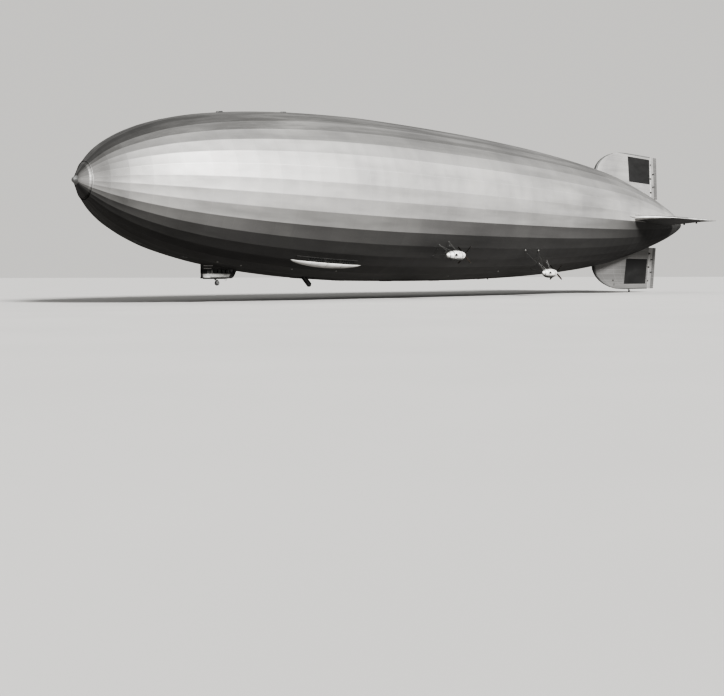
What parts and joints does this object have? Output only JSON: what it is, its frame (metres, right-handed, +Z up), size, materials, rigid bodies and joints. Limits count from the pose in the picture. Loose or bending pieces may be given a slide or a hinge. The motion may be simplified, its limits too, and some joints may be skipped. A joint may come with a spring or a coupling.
{
  "type": "rigid passenger airship, scale model at 1:10",
  "caption": "Rigid passenger airship with a faceted spindle hull, cross-shaped tail, engine cars with pusher propellers, control car, promenade windows and folding gangways, at 1:10 scale.",
  "frame": {"origin": "the centre of lift on the hull's axis, 10.9 m aft of the nose in this model", "axes": "+X forward along the hull to the nose, +Y to port, +Z up"},
  "size_m": [24.5, 4.78, 4.892],
  "materials": {
    "doped_fabric": "silver-doped cotton, taut over ribs, satin",
    "painted_sheet": "aluminium paint on sheet, satin",
    "bare_metal": "bare light alloy, worn",
    "dark_metal": "oily dark metal",
    "window_glass": "dark window band seen from outside",
    "clear_glass": "clear panes",
    "varnished_wood": "laminated and varnished",
    "tyre_rubber": "matt black"
  },
  "bodies": {
    "ship": {"envelope": "doped_fabric", "keel_skin": "doped_fabric", "nose_cap": "doped_fabric", "mooring_spindle": "bare_metal", "tail_cone": "doped_fabric", "upper_fin": "doped_fabric", "port_fin": "doped_fabric", "lower_fin": "doped_fabric", "starboard_fin": "doped_fabric", "port_promenade_windows": "window_glass", "starboard_promenade_windows": "window_glass", "port_promenade_ledge": "painted_sheet", "starboard_promenade_ledge": "painted_sheet", "port_stairwell": "painted_sheet", "starboard_stairwell": "painted_sheet", "control_car": "painted_sheet", "control_car_glazing": "clear_glass", "helm_stand": "bare_metal", "chart_table": "varnished_wood", "front_wheel_leg": "bare_metal", "tail_wheel_leg": "bare_metal", "engine_car_fwd_port": "painted_sheet", "engine_car_fwd_starboard": "painted_sheet", "engine_car_aft_port": "painted_sheet", "engine_car_aft_starboard": "painted_sheet", "engine_struts_fwd_port": "painted_sheet", "engine_struts_fwd_starboard": "painted_sheet", "engine_struts_aft_port": "painted_sheet", "engine_struts_aft_starboard": "painted_sheet", "radiator_fwd_port": "dark_metal", "radiator_fwd_starboard": "dark_metal", "radiator_aft_port": "dark_metal", "radiator_aft_starboard": "dark_metal", "engine_fwd_port": "dark_metal", "engine_fwd_starboard": "dark_metal", "engine_aft_port": "dark_metal", "engine_aft_starboard": "dark_metal"},
    "upper_rudder": {"upper_rudder": "doped_fabric"},
    "lower_rudder": {"lower_rudder": "doped_fabric"},
    "port_elevator": {"port_elevator": "doped_fabric"},
    "starboard_elevator": {"starboard_elevator": "doped_fabric"},
    "propeller_fwd_port": {"propeller_fwd_port": "varnished_wood"},
    "propeller_fwd_starboard": {"propeller_fwd_starboard": "varnished_wood"},
    "propeller_aft_port": {"propeller_aft_port": "varnished_wood"},
    "propeller_aft_starboard": {"propeller_aft_starboard": "varnished_wood"},
    "port_gangway": {"port_gangway": "painted_sheet"},
    "starboard_gangway": {"starboard_gangway": "painted_sheet"},
    "front_castor": {"front_wheel_fork": "bare_metal"},
    "front_wheel": {"front_wheel_hub": "bare_metal", "front_tyre": "tyre_rubber"},
    "tail_castor": {"tail_wheel_fork": "bare_metal"},
    "tail_wheel": {"tail_wheel_hub": "bare_metal", "tail_tyre": "tyre_rubber"}
  },
  "joints": [
    {"name": "upper_rudder_hinge", "type": "hinge", "parent": "ship", "child": "upper_rudder", "pos_m": [-11.25, 0, 1.6], "axis": [0, 0, 1], "range_deg": [-20, 20]},
    {"name": "lower_rudder_hinge", "type": "hinge", "parent": "ship", "child": "lower_rudder", "pos_m": [-11.25, 0, -1.6], "axis": [0, 0, 1], "range_deg": [-20, 20]},
    {"name": "port_elevator_hinge", "type": "hinge", "parent": "ship", "child": "port_elevator", "pos_m": [-11.25, 1.6, 0], "axis": [0, 1, 0], "range_deg": [-20, 20]},
    {"name": "starboard_elevator_hinge", "type": "hinge", "parent": "ship", "child": "starboard_elevator", "pos_m": [-11.25, -1.6, 0], "axis": [0, 1, 0], "range_deg": [-20, 20]},
    {"name": "propeller_fwd_port_spin", "type": "hinge", "parent": "ship", "child": "propeller_fwd_port", "pos_m": [1.36, 2.035, -1.385], "axis": [1, 0, 0], "continuous": true},
    {"name": "propeller_fwd_starboard_spin", "type": "hinge", "parent": "ship", "child": "propeller_fwd_starboard", "pos_m": [1.36, -2.035, -1.385], "axis": [1, 0, 0], "continuous": true},
    {"name": "propeller_aft_port_spin", "type": "hinge", "parent": "ship", "child": "propeller_aft_port", "pos_m": [-3.54, 1.4, -1.815], "axis": [1, 0, 0], "continuous": true},
    {"name": "propeller_aft_starboard_spin", "type": "hinge", "parent": "ship", "child": "propeller_aft_starboard", "pos_m": [-3.54, -1.4, -1.815], "axis": [1, 0, 0], "continuous": true},
    {"name": "port_gangway_hinge", "type": "hinge", "parent": "ship", "child": "port_gangway", "pos_m": [5.24, 0.235, -1.9255], "axis": [0, 1, 0], "range_deg": [0, 46]},
    {"name": "starboard_gangway_hinge", "type": "hinge", "parent": "ship", "child": "starboard_gangway", "pos_m": [5.24, -0.235, -1.9255], "axis": [0, 1, 0], "range_deg": [-46, 0]},
    {"name": "front_castor_swivel", "type": "hinge", "parent": "ship", "child": "front_castor", "pos_m": [7.56, 0, -2], "axis": [0, 0, 1], "continuous": true},
    {"name": "front_wheel_roll", "type": "hinge", "parent": "front_castor", "child": "front_wheel", "pos_m": [7.52, 0, -2.073], "axis": [0, 1, 0], "continuous": true},
    {"name": "tail_castor_swivel", "type": "hinge", "parent": "ship", "child": "tail_castor", "pos_m": [-10, 0, -2.415], "axis": [0, 0, 1], "continuous": true},
    {"name": "tail_wheel_roll", "type": "hinge", "parent": "tail_castor", "child": "tail_wheel", "pos_m": [-10.03, 0, -2.466], "axis": [0, 1, 0], "continuous": true}
  ],
  "couplings": [
    {"joint": "lower_rudder_hinge", "follows": "upper_rudder_hinge", "ratio": 1},
    {"joint": "starboard_elevator_hinge", "follows": "port_elevator_hinge", "ratio": 1}
  ]
}
